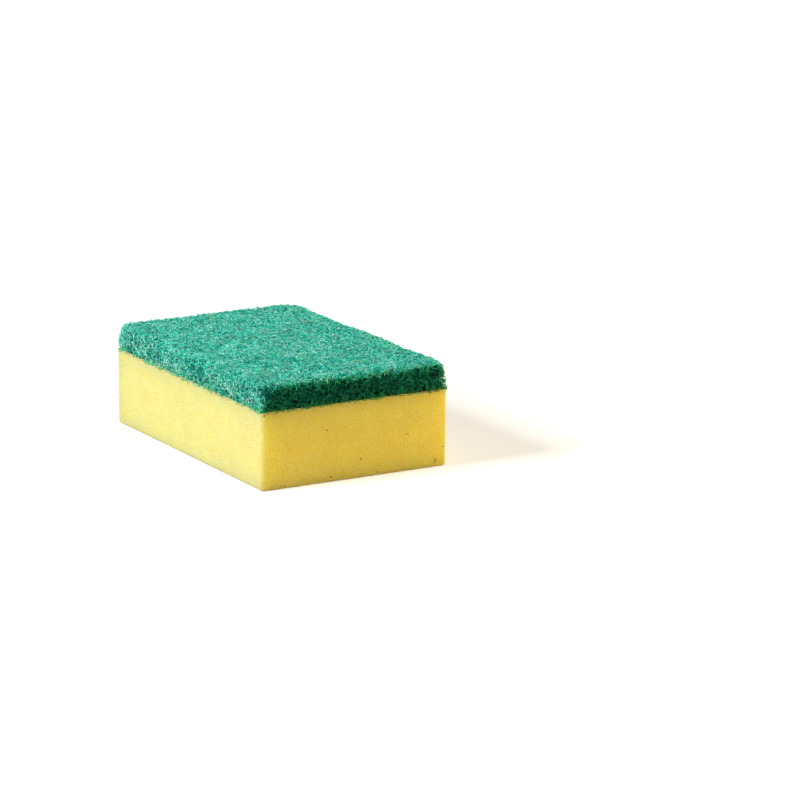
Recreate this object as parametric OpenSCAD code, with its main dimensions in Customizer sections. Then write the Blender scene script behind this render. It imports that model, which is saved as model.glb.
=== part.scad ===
// Household cleaning sponge: a block of open-cell foam with a scouring pad of matted
// fibre bonded to its top face. It lies on the foam, with the origin at the middle of
// the foam's bottom face, its long side along X and the pad up. Millimetres.

/* [Foam block] */
// Length of the foam block, along X
foam_length = 95; // [70:1:130]
// Width of the foam block, along Y
foam_width = 64; // [45:1:90]
// Height of the foam block, from the table to the bond with the pad
foam_height = 24; // [16:0.1:40]
// Radius of the four standing edges
foam_corner_r = 1.2; // [0.5:0.1:4]
// Radius of the edges round the bottom face
foam_base_r = 0.9; // [0.4:0.1:3]

/* [Open cells] */
// Radius of the largest cells that the cut faces lay open
cell_r = 0.5; // [0.3:0.05:0.6]
// Distance between neighbouring large cells
cell_pitch = 5.4; // [4.6:0.1:12]
// Foam left whole between a large cell and the edge of its face
cell_margin = 1.6; // [1:0.1:5]

/* [Scouring pad] */
// Height of the pad over the bond
pad_height = 8.1; // [4:0.1:12]
// How far the foot of the pad stays inside the foam's outline
pad_setback = 0.3; // [0.3:0.05:2]
// How far the die-cut side leans in for each millimetre of height
pad_lean = 0.04; // [0:0.01:0.25]
// Radius of the worn-over upper edge
pad_edge_r = 1.5; // [1:0.1:3]
// Corner radius of the pad's outline at the bond
pad_foot_corner_r = 1.4; // [1:0.1:4]
// Corner radius of the pad's outline at the top
pad_top_corner_r = 5; // [3:0.1:10]

/* [Matted fibre] */
// Distance between neighbouring tufts of fibre
tuft_pitch = 1.45; // [1.2:0.05:3]
// Height of a single tuft over its neighbours
tuft_height = 0.34; // [0.05:0.01:0.4]
// How far a tuft stands out of the die-cut side
tuft_reach = 0.3; // [0.05:0.01:0.35]
// Height of the slow swells in the mat
swell_height = 0.4; // [0:0.01:0.8]
// Distance between neighbouring swells
swell_pitch = 9; // [5:0.5:20]

/* [Hidden] */
$fn = 48;
foam_colour = [0.97, 0.83, 0.33];
pad_colour = [0.10, 0.52, 0.40];
// A cell's radius and the depth of its centre vary over these shares of cell_r
cell_size_spread = [0.55, 1];
cell_depth_spread = [-0.35, 0.45];
cell_jitter = 0.36;
cell_seed = 11;
// The side of the pad has straight steps up to the start of the edge radius, then arc steps
side_steps = 4;
arc_steps = 2;
arc_end = 62;
tuft_seed = 7;
swell_seed = 23;
over = 1;

// A rectangle of w by h, centred on X and standing on Y = 0, with its two lower corners rounded
module footed_rectangle(w, h, r) {
    translate([-w / 2, r]) square([w, h - r]);
    translate([r - w / 2, 0]) square([w - 2 * r, h]);
    for (side = [-1, 1]) translate([side * (w / 2 - r), r]) circle(r);
}

// A rectangle of l by w, centred, with four rounded corners
module rounded_rectangle(l, w, r) {
    square([l - 2 * r, w], center = true);
    square([l, w - 2 * r], center = true);
    for (x = [-1, 1], y = [-1, 1]) translate([x * (l / 2 - r), y * (w / 2 - r)]) circle(r);
}

// The block as the blade leaves it: each direction's outline, carried through the other two
module foam_body() {
    intersection() {
        linear_extrude(foam_height) rounded_rectangle(foam_length, foam_width, foam_corner_r);
        rotate([90, 0, 0])
            linear_extrude(foam_width + 2 * over, center = true)
                footed_rectangle(foam_length, foam_height, foam_base_r);
        rotate([90, 0, 90])
            linear_extrude(foam_length + 2 * over, center = true)
                footed_rectangle(foam_width, foam_height, foam_base_r);
    }
}

// How many large cells fit along a stretch of a face
function cells_along(size) = max(1, round((size - 2 * cell_margin) / cell_pitch));

// The large cells laid open by one cut face: w by h, centred on the origin, facing +Z
module cell_field(w, h, seed) {
    columns = cells_along(w);
    rows = cells_along(h);
    step_x = (w - 2 * cell_margin) / columns;
    step_y = (h - 2 * cell_margin) / rows;
    luck = rands(0, 1, 4 * columns * rows, seed);
    for (i = [0:columns - 1], j = [0:rows - 1]) {
        at = 4 * (i * rows + j);
        shift = [for (k = [0, 1]) (2 * luck[at + k] - 1) * cell_jitter];
        r = cell_r * pick(cell_size_spread, luck[at + 2]);
        x = (i + 0.5 + shift[0]) * step_x - (w / 2 - cell_margin);
        y = (j + 0.5 + shift[1]) * step_y - (h / 2 - cell_margin);
        translate([x, y, r * pick(cell_depth_spread, luck[at + 3])]) sphere(r);
    }
}

// The value a share t of the way along a span
function pick(span, t) = span[0] + (span[1] - span[0]) * t;

// The cells of the four sides and the bottom
module open_cells() {
    for (end = [0, 1]) {
        rotate(180 * end) translate([0, -foam_width / 2, foam_height / 2])
            rotate([90, 0, 0]) cell_field(foam_length, foam_height, cell_seed + end);
        rotate(90 + 180 * end) translate([0, -foam_length / 2, foam_height / 2])
            rotate([90, 0, 0]) cell_field(foam_width, foam_height, cell_seed + 2 + end);
    }
    rotate([180, 0, 0]) cell_field(foam_length, foam_width, cell_seed + 4);
}

module foam_block() {
    color(foam_colour) difference() {
        foam_body();
        open_cells();
    }
}

// Steps of the tuft grid along and across the pad, and the number of tufts round its rim
tufts_x = round(foam_length / tuft_pitch);
tufts_y = round(foam_width / tuft_pitch);
rim = 2 * (tufts_x + tufts_y);

// The die-cut side as [inset from the foam's outline, height over the bond], foot first
arc_start_h = pad_height - pad_edge_r;
side_profile = [
    for (k = [0:side_steps - 1])
        let (h = arc_start_h * k / side_steps) [pad_setback + pad_lean * h, h],
    for (k = [0:arc_steps])
        let (a = arc_end * k / arc_steps)
            [pad_setback + pad_lean * arc_start_h + pad_edge_r * (1 - cos(a)),
             arc_start_h + pad_edge_r * sin(a)]
];
rings = len(side_profile);

// Corner radius of the pad's outline at a height over the bond
function corner_r(h) = pick([pad_foot_corner_r, pad_top_corner_r], pow(h / pad_height, 2));

// One coordinate pair of the corner square, drawn in onto the quarter disc
function disc_in(q) = norm(q) == 0 ? q : q * max(q) / norm(q);

// The place of grid point [u, v], each from -1 to 1, inside a rounded outline with that inset
function place(u, v, inset, r) =
    let (
        half = [foam_length / 2 - inset, foam_width / 2 - inset],
        p = [abs(u) * half[0], abs(v) * half[1]],
        core = half - [r, r],
        q = (p - core) / r,
        flat = q[0] <= 0 || q[1] <= 0,
        round_p = flat ? p : core + disc_in(q) * r
    )
    [sign(u) * round_p[0], sign(v) * round_p[1]];

// Grid point number k of the rim, counted anticlockwise from the corner at -X, -Y
function rim_uv(k) =
    k < tufts_x ? [2 * k / tufts_x - 1, -1]
    : k < tufts_x + tufts_y ? [1, 2 * (k - tufts_x) / tufts_y - 1]
    : k < 2 * tufts_x + tufts_y ? [1 - 2 * (k - tufts_x - tufts_y) / tufts_x, 1]
    : [-1, 1 - 2 * (k - 2 * tufts_x - tufts_y) / tufts_y];

// Slow swells: random heights on a coarse lattice, blended smoothly between its points
lattice_x = ceil(foam_length / swell_pitch) + 2;
lattice_y = ceil(foam_width / swell_pitch) + 2;
lattice = rands(-0.5, 0.5, lattice_x * lattice_y, swell_seed);
function smooth(t) = t * t * (3 - 2 * t);
function knot(i, j) = lattice[i * lattice_y + j];
function swell(x, y) =
    let (
        a = (x + foam_length / 2) / swell_pitch,
        b = (y + foam_width / 2) / swell_pitch,
        i = floor(a),
        j = floor(b),
        low = pick([knot(i, j), knot(i + 1, j)], smooth(a - i)),
        high = pick([knot(i, j + 1), knot(i + 1, j + 1)], smooth(a - i))
    )
    swell_height * pick([low, high], smooth(b - j));

// One ring of the side: each tuft stands in or out by chance, and the foot stays on the bond
function side_ring(n) =
    let (
        inset = side_profile[n][0],
        h = side_profile[n][1],
        out = rands(-tuft_reach, tuft_reach, rim, tuft_seed + n),
        up = rands(-tuft_height, tuft_height, rim, tuft_seed + rings + n)
    )
    [for (k = [0:rim - 1])
        let (
            uv = rim_uv(k),
            p = place(uv[0], uv[1], inset - out[k], corner_r(h)),
            rise = n == 0 ? 0 : up[k] + swell(p[0], p[1]) * h / pad_height
        )
        [p[0], p[1], foam_height + h + rise]];

// The top of the mat inside its last ring
function top_rows() =
    let (
        inset = side_profile[rings - 1][0],
        r = corner_r(side_profile[rings - 1][1]),
        up = rands(-tuft_height, tuft_height, tufts_x * tufts_y, tuft_seed + 2 * rings)
    )
    [for (i = [1:tufts_x - 1], j = [1:tufts_y - 1])
        let (p = place(2 * i / tufts_x - 1, 2 * j / tufts_y - 1, inset, r))
        [p[0], p[1], foam_height + pad_height + swell(p[0], p[1]) + up[i * tufts_y + j]]];

// Index in the point list of top grid point [i, j], which is on the last ring along the border
last_ring = (rings - 1) * rim;
function rim_index(i, j) =
    j == 0 ? i
    : i == tufts_x ? tufts_x + j
    : j == tufts_y ? tufts_x + tufts_y + (tufts_x - i)
    : (2 * tufts_x + tufts_y + (tufts_y - j)) % rim;
function top_index(i, j) =
    i == 0 || j == 0 || i == tufts_x || j == tufts_y
        ? last_ring + rim_index(i, j)
        : last_ring + rim + (i - 1) * (tufts_y - 1) + (j - 1);

module scouring_pad() {
    points = concat([for (n = [0:rings - 1]) each side_ring(n)], top_rows());
    foot = [for (k = [0:rim - 1]) k];
    sides = [for (n = [0:rings - 2], k = [0:rim - 1])
        let (a = n * rim + k, b = n * rim + (k + 1) % rim)
            each (k + n) % 2 == 0
                ? [[a, a + rim, b + rim], [a, b + rim, b]]
                : [[a, a + rim, b], [b, a + rim, b + rim]]];
    top = [for (i = [0:tufts_x - 1], j = [0:tufts_y - 1])
        let (
            a = top_index(i, j),
            b = top_index(i + 1, j),
            c = top_index(i + 1, j + 1),
            d = top_index(i, j + 1)
        )
            each (i + j) % 2 == 0 ? [[a, c, b], [a, d, c]] : [[a, d, b], [b, d, c]]];
    color(pad_colour) polyhedron(points, concat([foot], sides, top), convexity = 4);
}

foam_block();
scouring_pad();
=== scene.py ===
# %% [markdown]
# # A cleaning sponge, foam below and scouring fibre above
#
# The real thing is two pieces glued face to face. Below is a block of yellow foam, sawn from a
# long loaf, so its faces are flat and full of opened bubbles. Above is a mat of coarse green
# fibres, cut flush with the foam.
#
# The foam could be a plain box with a bump pattern, but its edges and its outline would stay
# as smooth as glass. Here it is one closed surface with real pits, and only the finest cells
# are bump. The mat is thousands of separate curled fibres over a dark core, because light
# falls in between real fibres, and no painted pattern does that from every side. The core's
# dark green is painted shade, for the deeper fibres in shadow.

# %% The fixed frame
import math

import bpy
import numpy as np
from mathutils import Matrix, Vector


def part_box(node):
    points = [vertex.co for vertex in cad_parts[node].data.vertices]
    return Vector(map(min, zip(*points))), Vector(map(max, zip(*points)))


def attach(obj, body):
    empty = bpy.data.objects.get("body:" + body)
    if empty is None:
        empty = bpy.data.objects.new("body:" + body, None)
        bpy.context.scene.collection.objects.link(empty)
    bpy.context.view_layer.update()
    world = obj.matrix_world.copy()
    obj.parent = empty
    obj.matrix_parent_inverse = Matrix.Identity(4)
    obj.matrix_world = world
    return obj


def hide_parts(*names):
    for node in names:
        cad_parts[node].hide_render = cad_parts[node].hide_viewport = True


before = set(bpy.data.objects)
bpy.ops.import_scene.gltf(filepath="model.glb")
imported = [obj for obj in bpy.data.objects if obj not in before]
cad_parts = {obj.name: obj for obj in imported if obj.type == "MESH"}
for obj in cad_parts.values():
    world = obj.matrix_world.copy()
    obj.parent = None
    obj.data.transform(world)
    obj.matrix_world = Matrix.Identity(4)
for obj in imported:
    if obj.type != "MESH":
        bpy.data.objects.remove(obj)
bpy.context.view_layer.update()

MM = 0.001
foam_low, foam_high = (np.array(corner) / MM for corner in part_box("foam_block"))
length, width, bond = foam_high - foam_low
outline = np.array([length, width]) / 2
print(f"foam block {length:.1f} x {width:.1f} mm, glued {bond:.1f} mm above the table")

# %% [markdown]
# ## Camera
#
# A photo taken from further off with a longer lens has flatter perspective. Here the edges
# that run away from the camera hardly draw together, so the lens is long. The camera looks at
# a point to the right of the sponge, because the sponge sits left of the middle of the frame.

# %% Camera
VIEW_AZIMUTH = 59.06
VIEW_ELEVATION = 14.03
VIEW_ROLL = 0.61
VIEW_DISTANCE = 1135.0
AIM_RIGHT = 37.55
AIM_UP = 14.32
LENS = 165.0
SENSOR = 36.0


def looking_back(azimuth, elevation):
    """The unit vector from what is looked at towards the eye. Azimuth 0 is on the -Y side."""
    a, e = math.radians(azimuth), math.radians(elevation)
    return np.array([math.sin(a) * math.cos(e), -math.cos(a) * math.cos(e), math.sin(e)])


def place_facing(item, position, back, roll=0.0):
    """Puts a camera or lamp at a position in mm, so that its back points along a unit vector."""
    right = np.cross([0.0, 0.0, 1.0], back)
    right /= np.linalg.norm(right)
    up = np.cross(back, right)
    c, s = math.cos(math.radians(roll)), math.sin(math.radians(roll))
    turned = np.eye(4)
    turned[:3, :3] = np.stack([right * c + up * s, up * c - right * s, back], axis=1)
    turned[:3, 3] = np.asarray(position) * MM
    item.matrix_world = turned.T.tolist()


back = looking_back(VIEW_AZIMUTH, VIEW_ELEVATION)
right = np.array([math.cos(math.radians(VIEW_AZIMUTH)), math.sin(math.radians(VIEW_AZIMUTH)), 0])
camera = bpy.data.objects.new("camera", bpy.data.cameras.new("camera"))
camera.data.lens = LENS
camera.data.sensor_width = SENSOR
camera.data.clip_start = 0.01
bpy.context.scene.collection.objects.link(camera)
eye = right * AIM_RIGHT + [0, 0, AIM_UP] + back * VIEW_DISTANCE
place_facing(camera, eye, back, VIEW_ROLL)
bpy.context.scene.camera = camera
print(f"camera {VIEW_DISTANCE:.0f} mm away at azimuth {VIEW_AZIMUTH:.1f}, elevation {VIEW_ELEVATION:.1f}")

# %% [markdown]
# ## Light
#
# One soft lamp on the camera's left makes the long side the bright one. It stands low enough to
# graze the top, which brings the matting out. A second lamp behind the sponge shines into the
# foam, and the foam carries that light round to the shaded side. A low warm lamp behind on the
# right grazes the shaded end. It lights smooth foam well, but of the fibre ends that stand out
# there, it lights the flanks that the camera can't see. The world fills the shadows all round.
#
# A lamp's watts say little, so a helper turns a level into watts: at level 1 a white sheet that
# faces the lamp shows as plain white.

# %% Lamps and world
KEY = {"azimuth": -3.0, "elevation": 36.0, "distance": 800.0, "size": 240.0, "level": 1.04}
BACK = {"azimuth": 188.0, "elevation": 28.0, "distance": 800.0, "size": 300.0, "level": 0.2}
BOUNCE = {"azimuth": 138.0, "elevation": 5.0, "distance": 500.0, "size": 300.0, "level": 1.16}
BOUNCE_COLOUR = (1.0, 0.66, 0.11)
WORLD_LEVEL = 0.12


def soft_lamp(name, azimuth, elevation, distance, size, level, colour=(1.0, 1.0, 1.0)):
    """A square lamp that faces the sponge. Watts are level times (pi times the metres) squared."""
    data = bpy.data.lights.new(name, "AREA")
    data.size = size * MM
    data.color = colour
    data.energy = level * (math.pi * distance * MM) ** 2
    lamp = bpy.data.objects.new(name, data)
    bpy.context.scene.collection.objects.link(lamp)
    towards = looking_back(azimuth, elevation)
    place_facing(lamp, towards * distance, towards)
    return lamp


soft_lamp("key_lamp", **KEY)
soft_lamp("back_lamp", **BACK)
soft_lamp("bounce_lamp", **BOUNCE, colour=BOUNCE_COLOUR)


def add(tree, kind, inputs=None, **settings):
    """A new node. An input that is given a socket is linked to it, and any other is set."""
    node = tree.nodes.new(kind)
    for key, value in settings.items():
        setattr(node, key, value)
    for key, value in (inputs or {}).items():
        if isinstance(value, bpy.types.NodeSocket):
            tree.links.new(value, node.inputs[key])
        else:
            node.inputs[key].default_value = value
    return node


def seen_directly(tree):
    """1 for rays from the camera, off gloss or through glass, and 0 for rays that light things."""
    path = add(tree, "ShaderNodeLightPath")
    gloss = add(tree, "ShaderNodeMath", {0: path.outputs["Is Camera Ray"], 1: path.outputs["Is Glossy Ray"]},
                operation="MAXIMUM")
    return add(tree, "ShaderNodeMath", {0: gloss.outputs[0], 1: path.outputs["Is Transmission Ray"]},
               operation="MAXIMUM").outputs[0]


world = bpy.data.worlds.new("studio")
world.use_nodes = True
sky = world.node_tree
sky.nodes.clear()
fill = add(sky, "ShaderNodeBackground", {"Color": (1, 1, 1, 1), "Strength": WORLD_LEVEL})
white = add(sky, "ShaderNodeBackground", {"Color": (1, 1, 1, 1), "Strength": 1.0})
either = add(sky, "ShaderNodeMixShader", {0: seen_directly(sky), 1: fill.outputs[0], 2: white.outputs[0]})
add(sky, "ShaderNodeOutputWorld", {"Surface": either.outputs[0]})
bpy.context.scene.world = world
bpy.context.scene.view_settings.view_transform = "Standard"

# %% [markdown]
# ## From arrays to a mesh
#
# Every surface below is worked out with numpy as an array of points, in millimetres, and an
# array of triangles. Writing them into Blender in one go is far quicker than adding vertices
# one by one.

# %% Mesh helper


def make_piece(name, points, triangles, material, attributes=None):
    """A smooth-shaded object at the origin from points in mm and triangles. Attributes are per point."""
    mesh = bpy.data.meshes.new(name)
    mesh.vertices.add(len(points))
    mesh.vertices.foreach_set("co", (points * MM).astype(np.float32).ravel())
    mesh.loops.add(triangles.size)
    mesh.loops.foreach_set("vertex_index", triangles.astype(np.int32).ravel())
    mesh.polygons.add(len(triangles))
    mesh.polygons.foreach_set("loop_start", np.arange(0, triangles.size, 3, dtype=np.int32))
    mesh.polygons.foreach_set("use_smooth", np.ones(len(triangles), bool))
    mesh.update(calc_edges=True)
    for key, values in (attributes or {}).items():
        layer = mesh.attributes.new(key, "FLOAT", "POINT")
        layer.data.foreach_set("value", np.asarray(values, np.float32).ravel())
    mesh.materials.append(material)
    piece = bpy.data.objects.new(name, mesh)
    bpy.context.scene.collection.objects.link(piece)
    print(f"{name}: {len(points)} points, {len(triangles)} triangles")
    return piece


def quads(a, b, c, d):
    """Two triangles for each quad a, b, c, d."""
    return np.concatenate([np.stack([a, b, c], -1).reshape(-1, 3), np.stack([a, c, d], -1).reshape(-1, 3)])


def blend(low, high, share):
    """The value a share of the way from low to high."""
    return low + (high - low) * share


def ease(share):
    """A share held between 0 and 1 and made to start and stop gently."""
    t = np.clip(share, 0, 1)
    return t * t * (3 - 2 * t)


# %% [markdown]
# ## A closed block from rings and a grid
#
# Both pieces are blocks with straight sides and rounded edges. Such a block is a ladder of
# rings up its sides, closed by a fan at the end that nobody sees and by a fine grid at the
# other. The outline of each ring is the rim of that grid, so the two share their points and
# the surface has no seam. A sharp rectangle becomes a rounded one by drawing each corner in.

# %% Rings, rim and grid


def rounded_in(points, half, radius):
    """Draws the corners of a rectangle in, to arcs of that radius.

    A point in the square at a corner keeps its direction from the arc's centre, and its greater
    distance along either axis becomes its distance from that centre. Other points stay.
    """
    core = half - radius
    off = np.clip(np.abs(points) - core, 0, None)
    straight = np.linalg.norm(off, axis=-1, keepdims=True)
    greater = off.max(axis=-1, keepdims=True)
    share = np.divide(greater, straight, out=np.ones_like(straight), where=straight > 0)
    return np.sign(points) * (np.minimum(np.abs(points), core) + off * share)


def rim_of_square(nx, ny):
    """The rim of an nx by ny grid on the square from -1 to 1, anticlockwise from the corner -X, -Y."""
    i = np.arange(nx) / nx * 2 - 1
    j = np.arange(ny) / ny * 2 - 1
    sides = [(i, -1 + 0 * i), (1 + 0 * j, j), (-i, 1 + 0 * i), (-1 + 0 * j, -j)]
    return np.concatenate([np.stack(side, axis=-1) for side in sides])


def block_points(nx, ny, inset, height, corner):
    """The points of a block: its rings, then the inside of its grid, then the middle of its fan.

    Each ring is the foam's outline drawn in by its inset, at its height, with its corner radius.
    """
    half = outline - inset[:, None]
    rings = rounded_in(rim_of_square(nx, ny) * half[:, None], half[:, None], corner[:, None, None])
    u, v = (np.linspace(-1, 1, n + 1)[1:-1] for n in (nx, ny))
    inside = np.stack(np.meshgrid(u, v, indexing="ij"), -1).reshape(-1, 2)
    grid = rounded_in(inside * half[-1], half[-1], corner[-1])
    flat = np.concatenate([rings.reshape(-1, 2), grid, [[0, 0]]])
    heights = np.concatenate([np.repeat(height, rings.shape[1]), np.full(len(grid), height[-1]), height[:1]])
    return np.column_stack([flat, heights])


def block_triangles(nx, ny, rings):
    """The triangles that join block_points, with the rings going up."""
    rim = 2 * (nx + ny)
    k = np.arange(rim)
    ahead = (k + 1) % rim
    start = np.arange(rings - 1)[:, None] * rim
    side = quads(start + k, start + ahead, start + rim + ahead, start + rim + k)
    last = (rings - 1) * rim
    index = np.empty((nx + 1, ny + 1), int)
    index[:nx, 0] = last + k[:nx]
    index[nx, :ny] = last + k[nx:nx + ny]
    index[nx:0:-1, ny] = last + k[nx + ny:2 * nx + ny]
    index[0, ny:0:-1] = last + k[2 * nx + ny:]
    index[1:-1, 1:-1] = last + rim + np.arange((nx - 1) * (ny - 1)).reshape(nx - 1, ny - 1)
    grid = quads(index[:-1, :-1], index[1:, :-1], index[1:, 1:], index[:-1, 1:])
    middle = index[1:-1, 1:-1].max() + 1
    fan = np.stack([ahead, k, np.full(rim, middle)], axis=-1)
    return np.concatenate([side, grid, fan])


def outward_normals(points, triangles):
    """The normal at each point: the sum of its triangles' normals, the larger counting for more."""
    a, b, c = (points[triangles[:, i]] for i in range(3))
    face = np.repeat(np.cross(b - a, c - a), 3, axis=0)
    total = np.stack([np.bincount(triangles.ravel(), face[:, i], len(points)) for i in range(3)], axis=-1)
    return total / np.linalg.norm(total, axis=-1, keepdims=True)


# %% [markdown]
# ## The foam
#
# Foam is a froth that has set: round bubbles of about half a millimetre, with here and there a
# larger one. A saw cuts through them, so each face shows bubbles opened at every depth. The
# larger ones are worked out as spheres around points scattered in space. Where the face cuts a
# sphere, its points sink to the far wall. Because the spheres fill space and not each face by
# itself, a bubble at an edge opens both faces.

# %% Foam surface
rng = np.random.default_rng(95)
FOAM_STEP = 0.4
FOAM_CORNER = 1.2
FOAM_BASE = 0.9
BUBBLE_PITCH = 0.9
BUBBLE_RADII = (0.22, 0.5)
BUBBLE_SHARE = 0.42

bubble_count = np.ceil((foam_high - foam_low) / BUBBLE_PITCH).astype(int) + 3
bubbles = rng.random((*bubble_count, 4))


def bubble_depth(points, normals):
    """How deep the cut bubbles lie open under each point of a face, in mm.

    Each cell of a lattice holds one bubble, at a place and with a radius set by chance. A point
    that lies inside a bubble goes down its normal to the bubble's far wall, and the deepest wins.
    """
    local = (points - foam_low) / BUBBLE_PITCH + 1
    cell = np.floor(local).astype(int)
    depth = np.zeros(len(points))
    for offset in np.ndindex(3, 3, 3):
        index = np.clip(cell + offset - np.array(1), 0, bubble_count - 1)
        luck = bubbles[tuple(index.T)]
        away = local - index - luck[:, :3]
        radius = blend(*BUBBLE_RADII, luck[:, 3])
        over = (away * normals).sum(axis=1)
        inside = radius**2 - (away**2).sum(axis=1)
        wall = over + np.sqrt(np.clip(inside + over**2, 0, None))
        depth = np.maximum(depth, np.where(inside > 0, wall, 0))
    return depth * BUBBLE_PITCH


def foam_profile():
    """Inset and height of each ring, from the bond down the side and round the bottom edge."""
    side = np.linspace(bond, FOAM_BASE, round((bond - FOAM_BASE) / FOAM_STEP) + 1)
    turn = np.linspace(0, math.pi / 2, 5)[1:]
    inset = np.concatenate([0 * side, FOAM_BASE * (1 - np.cos(turn))])
    return inset, np.concatenate([side, FOAM_BASE * (1 - np.sin(turn))])


foam_nx, foam_ny = (round(size / FOAM_STEP) for size in (length, width))
foam_inset, foam_rows = foam_profile()
foam_points = block_points(foam_nx, foam_ny, foam_inset, foam_rows, FOAM_CORNER - foam_inset)
foam_triangles = block_triangles(foam_nx, foam_ny, len(foam_rows))[:, ::-1]
foam_normals = outward_normals(foam_points, foam_triangles)
pits = bubble_depth(foam_points, foam_normals) * BUBBLE_SHARE
under_mat = foam_points[:, 2] > bond - FOAM_STEP / 2
pits[under_mat] = 0
foam_points -= foam_normals * pits[:, None]
print(f"{np.mean(pits > 0):.0%} of the foam's points lie in a bubble, the deepest {pits.max():.2f} mm down")

# %% [markdown]
# ## Materials
#
# Two helpers come first. The first turns a colour as a screen writes it, from 0 to 255, into
# the linear values that light works with. The second is a shader node group. It clouds any
# colour with patches that are a little lighter or darker, which nothing made by the metre is
# free of, and the foam, the fibres and the core all use it, each with its own values.

# %% Colour helper and clouding group


def screen(red, green, blue):
    """A linear colour from screen values: above 10, the share of 255 raised to the power 2.4."""
    share = np.array([red, green, blue]) / 255
    linear = np.where(share > 0.04, ((share + 0.055) / 1.055) ** 2.4, share / 12.92)
    return (*linear.tolist(), 1.0)


def clouding_group():
    """A node group: Colour, times a value that wanders around 1 in patches of Patch millimetres."""
    group = bpy.data.node_groups.new("clouding", "ShaderNodeTree")
    sockets = [("Colour", "INPUT", "NodeSocketColor", (1, 1, 1, 1)),
               ("Place", "INPUT", "NodeSocketVector", None),
               ("Patch", "INPUT", "NodeSocketFloat", 4.0),
               ("Amount", "INPUT", "NodeSocketFloat", 0.1),
               ("Colour", "OUTPUT", "NodeSocketColor", None)]
    for name, way, kind, value in sockets:
        socket = group.interface.new_socket(name, in_out=way, socket_type=kind)
        if value is not None:
            socket.default_value = value
    given = add(group, "NodeGroupInput")
    finer = add(group, "ShaderNodeMath", {0: 1.0, 1: given.outputs["Patch"]}, operation="DIVIDE")
    noise = add(group, "ShaderNodeTexNoise",
                {"Vector": given.outputs["Place"], "Scale": finer.outputs[0], "Detail": 4.0})
    centred = add(group, "ShaderNodeMath", {0: noise.outputs[0], 1: 0.5}, operation="SUBTRACT")
    doubled = add(group, "ShaderNodeMath", {0: given.outputs["Amount"], 1: 4.0}, operation="MULTIPLY")
    factor = add(group, "ShaderNodeMath", {0: centred.outputs[0], 1: doubled.outputs[0], 2: 1.0},
                 operation="MULTIPLY_ADD")
    product = add(group, "ShaderNodeVectorMath", {0: given.outputs["Colour"]}, operation="SCALE")
    group.links.new(factor.outputs[0], product.inputs["Scale"])
    add(group, "NodeGroupOutput", {"Colour": product.outputs[0]})
    return group


CLOUDING = clouding_group()


def start_material(name):
    """A new material's node tree, its main shader, and the place on the piece in millimetres."""
    material = bpy.data.materials.new(name)
    material.use_nodes = True
    tree = material.node_tree
    place = add(tree, "ShaderNodeTexCoord").outputs["Object"]
    scaled = add(tree, "ShaderNodeVectorMath", {0: place}, operation="SCALE")
    scaled.inputs["Scale"].default_value = 1 / MM
    return material, tree, tree.nodes["Principled BSDF"], scaled.outputs[0]


def clouded(tree, colour, place, patch, amount):
    """A colour socket passed through the clouding group."""
    node = add(tree, "ShaderNodeGroup", node_tree=CLOUDING)
    for key, value in {"Colour": colour, "Place": place}.items():
        tree.links.new(value, node.inputs[key])
    node.inputs["Patch"].default_value = patch
    node.inputs["Amount"].default_value = amount
    return node.outputs["Colour"]


print("node groups:", [group.name for group in bpy.data.node_groups])

# %% [markdown]
# ## Foam finish
#
# The fine cells are a Voronoi pattern: the distance to the nearest of many scattered points is
# small in the middle of a cell and large at its wall. As a height it gives round pits between
# walls, and as a mask it keeps the walls pale and paints the pits a darker, deeper yellow: that
# is painted shade in the hollows, as are the darker middles of the larger cells and the darker
# floors of the cut bubbles. Foam also lets light in and out again. Red and green wander
# furthest, so a face in the shade glows warmer than the lit one. That is subsurface scattering,
# with a long reach for red and a short one for blue.

# %% Foam material
CELL = 0.36
CELL_WALL = (0.2, 0.85)
LARGE_CELL = 1.1
LARGE_WALL = (0.08, 0.32)
# Painted shade: the large cells' middles, the bubbles' floors and the pits take the darker colour.
LARGE_SHADE = 0.6
CELL_BEND = 0.35
PIT_SHADE = 0.35
FOAM_SHADED_PIT = (252, 230, 104)
FOAM_PALE = (255, 252, 196)
FOAM_BUMP = 0.3
GLOW_REACH = 17.0
GLOW_SHARES = (1.0, 0.6, 0.08)


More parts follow.
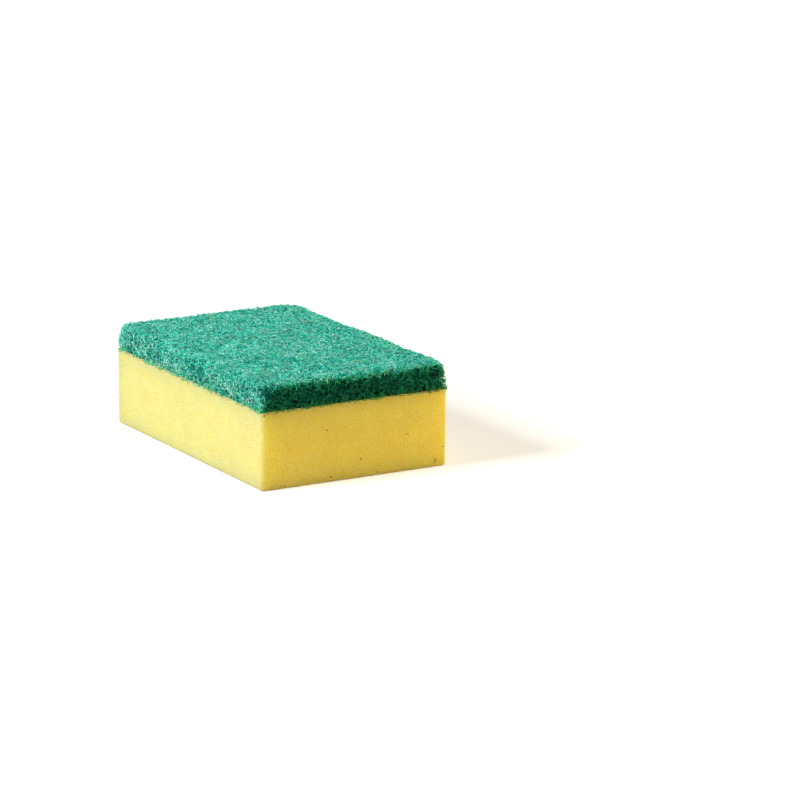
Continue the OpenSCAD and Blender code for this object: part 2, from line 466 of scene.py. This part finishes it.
def foam_material():
    """Open-cell foam: pale walls, pits with painted shade, fine bump, and light that wanders inside."""
    material, tree, shader, place = start_material("yellow_foam")
    warp = add(tree, "ShaderNodeTexNoise", {"Vector": place, "Scale": 1.6, "Detail": 1.0})
    bent = add(tree, "ShaderNodeVectorMath", {0: warp.outputs["Color"], 1: (CELL_BEND,) * 3, 2: place},
               operation="MULTIPLY_ADD")
    cells = add(tree, "ShaderNodeTexVoronoi", {"Vector": bent.outputs[0], "Scale": 1 / CELL})
    large = add(tree, "ShaderNodeTexVoronoi", {"Vector": bent.outputs[0], "Scale": 1 / LARGE_CELL})
    fine_wall = add(tree, "ShaderNodeMapRange",
                    {0: cells.outputs["Distance"], 1: CELL_WALL[0], 2: CELL_WALL[1]})
    large_wall = add(tree, "ShaderNodeMapRange", {0: large.outputs["Distance"], 1: LARGE_WALL[0],
                                                  2: LARGE_WALL[1], 3: LARGE_SHADE, 4: 1.0})
    wall = add(tree, "ShaderNodeMath", {0: fine_wall.outputs[0], 1: large_wall.outputs[0]},
               operation="MULTIPLY")
    # Painted shade: the deeper a bubble is cut, the darker its floor.
    pit = add(tree, "ShaderNodeAttribute", attribute_name="pit")
    raised = add(tree, "ShaderNodeMath", {0: pit.outputs["Fac"], 1: -PIT_SHADE, 2: wall.outputs[0]},
                 operation="MULTIPLY_ADD", use_clamp=True)
    tint = add(tree, "ShaderNodeMix", {"Factor": raised.outputs[0]}, data_type="RGBA")
    tint.inputs[6].default_value = screen(*FOAM_SHADED_PIT)
    tint.inputs[7].default_value = screen(*FOAM_PALE)
    colour = clouded(tree, tint.outputs[2], place, patch=6.0, amount=0.035)
    tree.links.new(colour, shader.inputs["Base Color"])
    bump = add(tree, "ShaderNodeBump",
               {"Strength": 1.0, "Distance": FOAM_BUMP * MM, "Height": wall.outputs[0]})
    tree.links.new(bump.outputs[0], shader.inputs["Normal"])
    shader.inputs["Roughness"].default_value = 0.75
    shader.inputs["Specular IOR Level"].default_value = 0.3
    shader.inputs["Subsurface Weight"].default_value = 0.75
    shader.inputs["Subsurface Radius"].default_value = GLOW_SHARES
    shader.inputs["Subsurface Scale"].default_value = GLOW_REACH * MM
    return material


FOAM = foam_material()
foam_block = make_piece("foam_block_cells", foam_points, foam_triangles, FOAM, {"pit": pits / pits.max()})
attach(foam_block, "root")
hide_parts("foam_block")

# %% [markdown]
# ## The shape of the mat
#
# Fibres lie in a thin skin over the mat's outline, so a fibre has to know how deep it is. The
# mat is a slab with rounded corners and a rounded upper edge, and the distance from a point to
# such a slab has a plain formula: take how far the point is past the straight part along each
# axis, join those by Pythagoras, and subtract the rounding radius. Slow swells make the slab as
# uneven as matted fibre is.

# %% Mat as a distance
MAT_HEIGHT = 8.1
MAT_LEAN = 0.03
MAT_EDGE = 1.2
MAT_CORNER_FOOT = 0.7
MAT_CORNER_TOP = 4.8
SWELL_PITCH = 7.0
SWELL_HEIGHT = 0.55

swell_span = np.array([length, width, 3 * MAT_HEIGHT])
swell_count = np.ceil(swell_span / SWELL_PITCH).astype(int) + 4
swell_lattice = rng.random(swell_count) - 0.5


def swell(points):
    """A smooth random height in mm: the eight nearest numbers of a coarse lattice, blended."""
    start = np.array([-outline[0], -outline[1], bond - MAT_HEIGHT]) - SWELL_PITCH
    local = (points - start) / SWELL_PITCH
    cell = np.clip(np.floor(local).astype(int), 0, swell_count - 2)
    share = ease(local - cell)
    total = 0
    for corner in np.ndindex(2, 2, 2):
        weight = np.prod(np.where(corner, share, 1 - share), axis=-1)
        total = total + weight * swell_lattice[tuple(np.moveaxis(cell + corner, -1, 0))]
    return SWELL_HEIGHT * total


def mat_depth(points):
    """How far points lie inside the mat, in mm, with negative values outside."""
    h = points[..., 2] - bond
    rise = np.clip(h / MAT_HEIGHT, 0, 1)
    corner = blend(MAT_CORNER_FOOT, MAT_CORNER_TOP, rise**2)
    inset = MAT_LEAN * MAT_HEIGHT * rise
    past = np.abs(points[..., :2]) - (outline - (inset + corner)[..., None])
    side = np.linalg.norm(np.clip(past, 0, None), axis=-1) + np.minimum(past.max(axis=-1), 0) - corner
    pair = np.stack([side + MAT_EDGE, h - MAT_HEIGHT + MAT_EDGE], axis=-1)
    slab = np.linalg.norm(np.clip(pair, 0, None), axis=-1) + np.minimum(pair.max(axis=-1), 0) - MAT_EDGE
    return swell(points) - slab


def mat_normal(points):
    """The direction out of the mat: the steepest fall of its depth, from small steps along X, Y, Z."""
    step = 0.05
    fall = [mat_depth(points - step * axis) - mat_depth(points + step * axis) for axis in np.eye(3)]
    fall = np.stack(fall, axis=-1)
    return fall / np.maximum(np.linalg.norm(fall, axis=-1, keepdims=True), 1e-9)


def settle(points, depth):
    """Moves points along the mat's normal until they lie at a given depth."""
    for _ in range(2):
        points = points + mat_normal(points) * (mat_depth(points) - depth)[..., None]
    return points


probe = np.array([[0.0, 0.0, bond + MAT_HEIGHT], [length / 2, 0, bond + 3], [44.0, 29.0, bond + 7]])
print("points on the mat's skin:", settle(probe, 0.0).round(2).tolist())

# %% [markdown]
# ## Fibres over a dark core
#
# The fibres are nylon, crimped like wool and laid flat at random, then stuck where they cross.
# Each is a thin tube along a walk over the mat's skin. At every step the walk turns a little,
# always the same way plus a wave, so the fibre curls, and it rises and sinks, so that it passes
# over and under others. At the cut sides most fibres simply end. Those are short stubs that
# point out of the side.

# %% Walks over the mat's skin
TUBE_SIDES = 3


def scattered_on_mat(count, depth, low=-0.5):
    """Points spread evenly in the mat's skin, drawn by chance in a box and kept if they fall there."""
    box_low = np.array([-outline[0] - 1, -outline[1] - 1, bond + low])
    box_high = np.array([outline[0] + 1, outline[1] + 1, bond + MAT_HEIGHT + 1])
    kept = np.empty((0, 3))
    while len(kept) < count:
        tries = blend(box_low, box_high, rng.random((4 * count, 3)))
        inside = mat_depth(tries)
        kept = np.concatenate([kept, tries[(inside > depth[0]) & (inside < depth[1])]])
    return kept[:count]


def unit(vectors):
    """Vectors scaled to length 1."""
    return vectors / np.maximum(np.linalg.norm(vectors, axis=-1, keepdims=True), 1e-9)


def turned_about(vectors, axis, angle):
    """Vectors at right angles to a unit axis, turned about it by an angle."""
    return np.cos(angle)[:, None] * vectors + np.sin(angle)[:, None] * np.cross(axis, vectors)


def curled_walks(starts, step, turns, depths, flatness):
    """Paths over the skin, one from each start.

    At each step the heading is laid flat, turned and followed, and the point settles to the
    fibre's depth there. Flatness presses the first headings towards the horizontal.
    """
    heading = rng.normal(size=starts.shape) * [1, 1, flatness]
    points = settle(starts, depths[:, 0])
    track = [points]
    for turn, depth in zip(turns.T, depths[:, 1:].T):
        normal = mat_normal(points)
        heading = unit(heading - (heading * normal).sum(-1, keepdims=True) * normal)
        heading = turned_about(heading, normal, turn)
        points = settle(points + step[:, None] * heading, depth)
        track.append(points)
    return np.stack(track, axis=1)


def tubes(paths, radius):
    """Points and triangles of closed tubes along paths of shape (fibres, points, 3).

    Around each path point lie a few points at the tube's radius there, along two directions at
    right angles to the path. Each end is closed by one triangle.
    """
    count, steps = paths.shape[:2]
    along = unit(np.gradient(paths, axis=1))
    side = unit(np.cross(along.mean(axis=1), rng.normal(size=(count, 3))))[:, None]
    across = unit(side - (side * along).sum(-1, keepdims=True) * along)
    other = np.cross(along, across)
    angle = np.arange(TUBE_SIDES) * 2 * math.pi / TUBE_SIDES
    spokes = across[:, :, None] * np.cos(angle)[:, None] + other[:, :, None] * np.sin(angle)[:, None]
    points = paths[:, :, None] + spokes * radius[:, :, None, None]
    index = np.arange(points[..., 0].size).reshape(count, steps, TUBE_SIDES)
    beside = np.roll(index, -1, axis=2)
    wall = quads(index[:, :-1], beside[:, :-1], beside[:, 1:], index[:, 1:])
    ends = np.concatenate([index[:, 0, ::-1], index[:, -1]])
    return points.reshape(-1, 3), np.concatenate([wall, ends])


# %% [markdown]
# Such sponges are made as a long strip, slit to width and sprayed with scouring grit, and then
# chopped to length. So the top and the long sides have fibres that lie flat, and the chopped
# ends are open, with stubs standing out. Fibres on the ends and deeper in the mat are painted
# darker: painted shade, for the shade on the ends and between the fibres. The lowest fibres hang
# a little over the glue line, because the blade presses the foot outwards. One value for each
# fibre makes some pale and some dark.

# %% Fibre populations
LONG_FIBRES = 17000
LONG_STEPS = 5
LONG_STEP = (0.55, 0.85)
STUBS = 9500
STUB_STEPS = 3
STUB_LENGTH = (1.8, 3.2)
STUB_SPREAD = 0.5
STUBS_ON_SIDES = 0.72
FIBRE_RADIUS = (0.09, 0.16)
SKIN = (-0.1, 0.95)
END_SHARE = 0.3
FLANK_SHARE = 0.5
STRAY = 0.4
FLARE = 0.12
FLARE_HEIGHT = 1.2
HANG = (0.0, 0.75)
RIPPLE = (1.7, 0.71)
FACING_SIDE = 0.7
STEADY_TURN = 0.35
CRIMP_TURN = (0.2, 1.1)
CRIMP_DEPTH = (0.1, 0.45)
CRIMP_LENGTH = (2.5, 6)
OUTERMOST = -0.3
LIE_FLAT = 0.5
STUB_ROOTS = (-0.1, 0.2)
STUB_SIDE = 0.75
STUB_BEND = 0.3
STUB_RISE = 0.25


def wave(count, steps, size, length_in_steps):
    """A sine for each fibre, with its own size, length and start, over its steps."""
    amount = blend(size[0], size[1], rng.random((count, 1)))
    period = blend(length_in_steps[0], length_in_steps[1], rng.random((count, 1)))
    return amount * np.sin(2 * math.pi * (np.arange(steps) / period + rng.random((count, 1))))


def without_strays(paths):
    """The paths that stay in the skin all along. Few leave it, at corners, and they would stand off."""
    return paths[mat_depth(paths).min(axis=1) > -STRAY]


def hang_over(paths):
    """Presses the mat's foot outwards, and lets no fibre hang far below the bond.

    The limit varies from fibre to fibre, and ripples along the sides by two sines of unlike pitch.
    """
    rise = paths[..., 2] - bond
    outward = mat_normal(paths) * [1, 1, 0]
    paths = paths + outward * (FLARE * ease(1 - rise / FLARE_HEIGHT))[..., None]
    along = paths[..., 0] + paths[..., 1]
    ripple = 0.5 + 0.25 * (np.sin(RIPPLE[0] * along + 3.5) + np.sin(RIPPLE[1] * along))
    lowest = bond - blend(*HANG, ripple) * rng.random((len(paths), 1)) ** 0.5
    paths[..., 2] = np.maximum(paths[..., 2], lowest)
    return paths


def long_fibres(count):
    """Crimped fibres that lie over the whole skin, fewer on the long sides, and few on the ends."""
    tries = scattered_on_mat(2 * count, SKIN)
    facing = np.abs(mat_normal(tries))
    on_flank = np.where(facing[:, 1] > FACING_SIDE, FLANK_SHARE, 1)
    share = np.where(facing[:, 0] > FACING_SIDE, END_SHARE, on_flank)
    starts = tries[rng.random(len(tries)) < share][:count]
    steady = rng.normal(size=(count, 1)) * STEADY_TURN
    turns = steady + wave(count, LONG_STEPS, CRIMP_TURN, CRIMP_LENGTH)
    middle = blend(*SKIN, rng.random((count, 1)) ** 1.2)
    depths = np.clip(middle + wave(count, LONG_STEPS + 1, CRIMP_DEPTH, CRIMP_LENGTH), OUTERMOST, None)
    step = blend(*LONG_STEP, rng.random(count))
    return hang_over(without_strays(curled_walks(starts, step, turns, depths, LIE_FLAT)))


def stub_fibres(count):
    """Short bent ends that point out of the skin, most of them out of the cut sides."""
    tries = scattered_on_mat(6 * count, STUB_ROOTS)
    on_side = mat_normal(tries)[:, 2] < STUB_SIDE
    most = round(STUBS_ON_SIDES * count)
    starts = np.concatenate([tries[on_side][:most], tries[~on_side][:count - most]])
    normal = mat_normal(starts)
    spread = rng.normal(size=normal.shape)
    spread -= (spread * normal).sum(-1, keepdims=True) * normal
    heading = unit(normal + STUB_SPREAD * spread)
    bend = STUB_BEND * np.cross(normal, spread)
    reach = blend(*STUB_LENGTH, rng.random((len(starts), 1, 1)))
    share = np.linspace(-1, 0, STUB_STEPS + 1)[:, None]
    tip = starts + normal * STUB_RISE * rng.random((len(starts), 1))
    paths = tip[:, None] + reach * (share * heading[:, None] + share**2 * bend[:, None])
    return hang_over(without_strays(paths))


def fibre_radius(count, steps):
    """A radius for each fibre, a little less at both ends."""
    thin = np.ones(steps)
    thin[[0, -1]] = 0.75
    return blend(*FIBRE_RADIUS, rng.random((count, 1)) ** 1.5) * thin


long_paths = long_fibres(LONG_FIBRES)
stub_paths = stub_fibres(STUBS)
print(f"long fibres {long_paths.shape}, stubs {stub_paths.shape}")

# %% [markdown]
# ## Fibre finish
#
# The colour runs from deep green to nearly white with each fibre's value, which carries painted
# shade, and lumps of grit and resin half a millimetre long shift that value up and down along
# the fibre. Clouding then varies the whole sheet. Low down the green is painted lighter and
# yellower: painted light, from the yellow foam just below, which also fills the shade at the
# glue line. The lumps are glossy and the rest is dull, so single points of light sparkle.

# %% Fibre and core materials
GRAIN = 0.4
GRIT = 0.75
FIBRE_DEEP = (0, 90, 112)
FIBRE_MIDDLE = (52, 240, 208)
FIBRE_PALE = (218, 255, 255)
MIDDLE_AT = 0.52
# Painted light: the lowest fibres lighter and yellower, for the yellow foam's glow and the glue line's
# shade.
FOOT_LIGHT = (64, 186, 98)
FOOT_LIGHT_SHARE = 0.6
FOOT_LIGHT_FADE = (-0.4, 1.6)
# Painted shade: the core's dark greens stand for the deeper fibres in shadow.
CORE_DEEP = (1, 30, 32)
CORE_PALE = (5, 72, 62)


def fibre_material():
    """Green nylon, deep to pale by each fibre's value and its painted shade, nearly white with grit at 1."""
    material, tree, shader, place = start_material("green_fibre")
    own = add(tree, "ShaderNodeAttribute", attribute_name="pale")
    lumps = add(tree, "ShaderNodeTexNoise", {"Vector": place, "Scale": 1 / GRAIN, "Detail": 2.0})
    lift = add(tree, "ShaderNodeMapRange",
               {0: lumps.outputs[0], 1: 0.3, 2: 0.7, 3: 1 - GRIT, 4: 1 + GRIT})
    value = add(tree, "ShaderNodeMath", {0: own.outputs["Fac"], 1: lift.outputs[0]},
                operation="MULTIPLY")
    tint = add(tree, "ShaderNodeValToRGB", {"Fac": value.outputs[0]})
    tint.color_ramp.elements[0].color = screen(*FIBRE_DEEP)
    tint.color_ramp.elements[1].color = screen(*FIBRE_PALE)
    tint.color_ramp.elements.new(MIDDLE_AT).color = screen(*FIBRE_MIDDLE)
    split = add(tree, "ShaderNodeSeparateXYZ", {0: place})
    low = add(tree, "ShaderNodeMapRange", {0: split.outputs["Z"], 1: bond + FOOT_LIGHT_FADE[0],
                                           2: bond + FOOT_LIGHT_FADE[1], 3: FOOT_LIGHT_SHARE, 4: 0.0})
    foot_light = add(tree, "ShaderNodeMix", {"Factor": low.outputs[0], 6: tint.outputs["Color"]},
                 data_type="RGBA")
    foot_light.inputs[7].default_value = screen(*FOOT_LIGHT)
    colour = clouded(tree, foot_light.outputs[2], place, patch=5.0, amount=0.14)
    tree.links.new(colour, shader.inputs["Base Color"])
    shiny = add(tree, "ShaderNodeMapRange", {0: value.outputs[0], 1: 0.7, 2: 1.0, 3: 0.1, 4: 0.8})
    tree.links.new(shiny.outputs[0], shader.inputs["Specular IOR Level"])
    shader.inputs["Roughness"].default_value = 0.3
    return material


def core_material():
    """The mat's inside, seen only in the gaps: rough, clouded, and dark green as painted shade."""
    material, tree, shader, place = start_material("mat_core")
    strands = add(tree, "ShaderNodeTexNoise",
                  {"Vector": place, "Scale": 2.2, "Detail": 6.0, "Roughness": 0.7})
    tint = add(tree, "ShaderNodeMix", {"Factor": strands.outputs[0]}, data_type="RGBA")
    tint.inputs[6].default_value = screen(*CORE_DEEP)
    tint.inputs[7].default_value = screen(*CORE_PALE)
    colour = clouded(tree, tint.outputs[2], place, patch=3.0, amount=0.15)
    tree.links.new(colour, shader.inputs["Base Color"])
    bump = add(tree, "ShaderNodeBump",
               {"Strength": 1.0, "Distance": 0.4 * MM, "Height": strands.outputs[0]})
    tree.links.new(bump.outputs[0], shader.inputs["Normal"])
    shader.inputs["Roughness"].default_value = 0.8
    shader.inputs["Specular IOR Level"].default_value = 0.1
    return material


FIBRE = fibre_material()
CORE = core_material()

# %% [markdown]
# The core is the same kind of block as the foam, the other way up: rings from the foot to the
# edge, then a grid over the top. Its points settle a millimetre below the skin on top, and
# deeper at the sides, where the blade leaves the mat more open. At the foot the core comes out
# again, but not as far as the fibres, so that these end on the foam and not on a dark line.

# %% Core
CORE_STEP = 0.7
CORE_DEPTH = 1.0
CORE_SIDE_DEPTH = 2.0
CORE_FOOT_SHARE = 0.4
CORE_FOOT_HEIGHT = 1.5
CORE_ARC_END = 80
CORE_ROUGH = 0.3


def core_profile():
    """Inset and height of each ring: the foot, drawn in, then up the side and round the upper edge."""
    top_of_side = MAT_HEIGHT - MAT_EDGE
    side = np.linspace(0, top_of_side, round(top_of_side / CORE_STEP) + 1)
    turn = np.linspace(0, math.radians(CORE_ARC_END), 5)[1:]
    inset = np.concatenate([MAT_LEAN * side, MAT_LEAN * top_of_side + MAT_EDGE * (1 - np.cos(turn))])
    inset[0] = CORE_FOOT_SHARE * CORE_SIDE_DEPTH
    return inset, bond + np.concatenate([side, top_of_side + MAT_EDGE * np.sin(turn)])


core_nx, core_ny = (round(size / CORE_STEP) for size in (length, width))
core_inset, core_rows = core_profile()
core_corner = blend(MAT_CORNER_FOOT, MAT_CORNER_TOP, ((core_rows - bond) / MAT_HEIGHT)**2)
core_points = block_points(core_nx, core_ny, core_inset, core_rows, core_corner)
foot = core_points[:, 2] <= bond
facing_up = mat_normal(core_points)[:, 2]
core_depth = blend(CORE_SIDE_DEPTH, CORE_DEPTH, ease(facing_up))
core_depth *= blend(CORE_FOOT_SHARE, 1, ease((core_points[:, 2] - bond) / CORE_FOOT_HEIGHT))
core_depth += CORE_ROUGH * (rng.random(len(core_points)) - 0.5)
core_points[~foot] = settle(core_points[~foot], core_depth[~foot])
core_triangles = block_triangles(core_nx, core_ny, len(core_rows))
mat_core = make_piece("scouring_mat_core", core_points, core_triangles, CORE)
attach(mat_core, "root")
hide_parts("scouring_pad")

# %% [markdown]
# A mesh of this many fibres would be too large for one piece, so the long fibres are dealt
# into layers, and so are the stubs.

# %% Fibre pieces
LAYERS = 3
STUB_LAYERS = 2
# Painted shade: fibres further in from the top and long sides than the first value are darker by the second.
UNSHADED_DEPTH = 1.4
PAINTED_SHADE_SHARE = 0.8
TOP_SPREAD = 0.5
SIDE_SPREAD = 1.0
MIDDLE_VALUE = 0.47


def value_with_painted_shade(paths):
    """Each fibre's value from deep to pale: chance, scaled down by painted shade further in.

    Fibres near the top or the long sides keep their value, the nearer of the two counting, and
    the rest, on the chopped ends too, are painted darker as shade. On top the values keep nearer
    the middle, and lower down they spread wider, paler and darker, as painted highlights and shade.
    """
    middle = paths.mean(axis=1)
    below_top = bond + MAT_HEIGHT - middle[:, 2]
    inside = np.minimum(below_top, outline[1] - np.abs(middle[:, 1]))
    unshaded = ease(1.3 - inside / UNSHADED_DEPTH)
    luck = rng.random(len(paths)) ** 0.8
    # Lower down the values spread wider, as painted highlights and shade.
    spread = blend(TOP_SPREAD, SIDE_SPREAD, ease(below_top / UNSHADED_DEPTH - 0.5))
    return (MIDDLE_VALUE + (luck - 0.5) * spread) * blend(1 - PAINTED_SHADE_SHARE, 1, unshaded)


def add_fibres(name, paths, material):
    """One piece with a tube for each path, and each fibre's value, painted shade included."""
    count, steps = paths.shape[:2]
    points, triangles = tubes(paths, fibre_radius(count, steps))
    pale = np.repeat(value_with_painted_shade(paths), steps * TUBE_SIDES)
    piece = make_piece(name, points, triangles, material, {"pale": pale})
    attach(piece, "root")
    return piece


for number, layer in enumerate(np.array_split(long_paths, LAYERS), start=1):
    add_fibres(f"fibre_layer_{number}", layer, FIBRE)
stub_paths = rng.permutation(stub_paths)
for number, layer in enumerate(np.array_split(stub_paths, STUB_LAYERS), start=1):
    add_fibres(f"cut_ends_{number}", layer, FIBRE)

# %% [markdown]
# Cutting leaves crumbs of fibre on the foam. They are tiny, but they stand out, dark green on
# yellow, so each of the few on the end face has its own row of numbers in millimetres and
# degrees: its place across and up the face, its length and its turn.

# %% Crumbs on the foam
CRUMBS = np.array([[-9.9, 16.3, 0.5, 100], [17.9, 11.7, 1.2, 175], [1.9, 5.9, 0.6, 60],
                   [28.0, 2.1, 1.8, 75], [7.5, 1.1, 0.6, 10], [-8.4, 1.7, 0.6, 140],
                   [-24.1, 0.9, 0.5, 30], [30.5, 6.2, 0.5, 170], [-31.1, 23.2, 0.8, 80]])
CRUMB_CURL = 0.9
CRUMB_GAP = 0.02
crumb_steps = np.linspace(-0.5, 0.5, 4)
crumb_turn = np.radians(CRUMBS[:, 3:4]) + CRUMB_CURL * crumb_steps
crumb_paths = np.stack([0 * crumb_turn + length / 2 + CRUMB_GAP,
                        CRUMBS[:, :1] + CRUMBS[:, 2:3] * crumb_steps * np.cos(crumb_turn),
                        CRUMBS[:, 1:2] + CRUMBS[:, 2:3] * crumb_steps * np.sin(crumb_turn)], axis=-1)
add_fibres("fibre_crumbs", crumb_paths, CORE)

# %% [markdown]
# ## Floor
#
# The floor is plain white and reaches far out. It keeps the shadow under the sponge, and for
# the camera alone it shines a little, more so further off, so that it meets the white world
# without a line. From below it is clear, so that the sponge's underside can be looked at.

# %% Floor
FLOOR_HALF = 3000.0
FLOOR_SHINE = (0.5, 1.0)
FLOOR_FADE = (90.0, 420.0)
FLOOR_GAP = 0.03
FLOOR_LIT = (238, 214, 146)
FLOOR_SEEN = (232, 232, 232)


def floor_material():
    """White, with a little light of its own that only the camera sees, and warm to all other light."""
    material, tree, shader, place = start_material("white_floor")
    cast = add(tree, "ShaderNodeMix", {"Factor": seen_directly(tree)}, data_type="RGBA")
    cast.inputs[6].default_value = screen(*FLOOR_LIT)
    cast.inputs[7].default_value = screen(*FLOOR_SEEN)
    colour = clouded(tree, cast.outputs[2], place, patch=60.0, amount=0.01)
    tree.links.new(colour, shader.inputs["Base Color"])
    shader.inputs["Roughness"].default_value = 0.9
    shader.inputs["Specular IOR Level"].default_value = 0.1
    away = add(tree, "ShaderNodeVectorMath", {0: place}, operation="LENGTH")
    further = add(tree, "ShaderNodeMapRange",
                  {0: away.outputs["Value"], 1: FLOOR_FADE[0], 2: FLOOR_FADE[1],
                   3: FLOOR_SHINE[0], 4: FLOOR_SHINE[1]})
    shine = add(tree, "ShaderNodeMath", {0: seen_directly(tree), 1: further.outputs[0]},
                operation="MULTIPLY")
    shader.inputs["Emission Color"].default_value = (1, 1, 1, 1)
    tree.links.new(shine.outputs[0], shader.inputs["Emission Strength"])
    below = add(tree, "ShaderNodeNewGeometry").outputs["Backfacing"]
    clear = add(tree, "ShaderNodeBsdfTransparent")
    either = add(tree, "ShaderNodeMixShader", {0: below, 1: shader.outputs[0], 2: clear.outputs[0]})
    tree.links.new(either.outputs[0], tree.nodes["Material Output"].inputs["Surface"])
    return material


square = np.array([[-1, -1, 0], [1, -1, 0], [1, 1, 0], [-1, 1, 0]]) * FLOOR_HALF - [0, 0, FLOOR_GAP]
floor = make_piece("floor", square, np.array([[0, 1, 2], [0, 2, 3]]), floor_material())
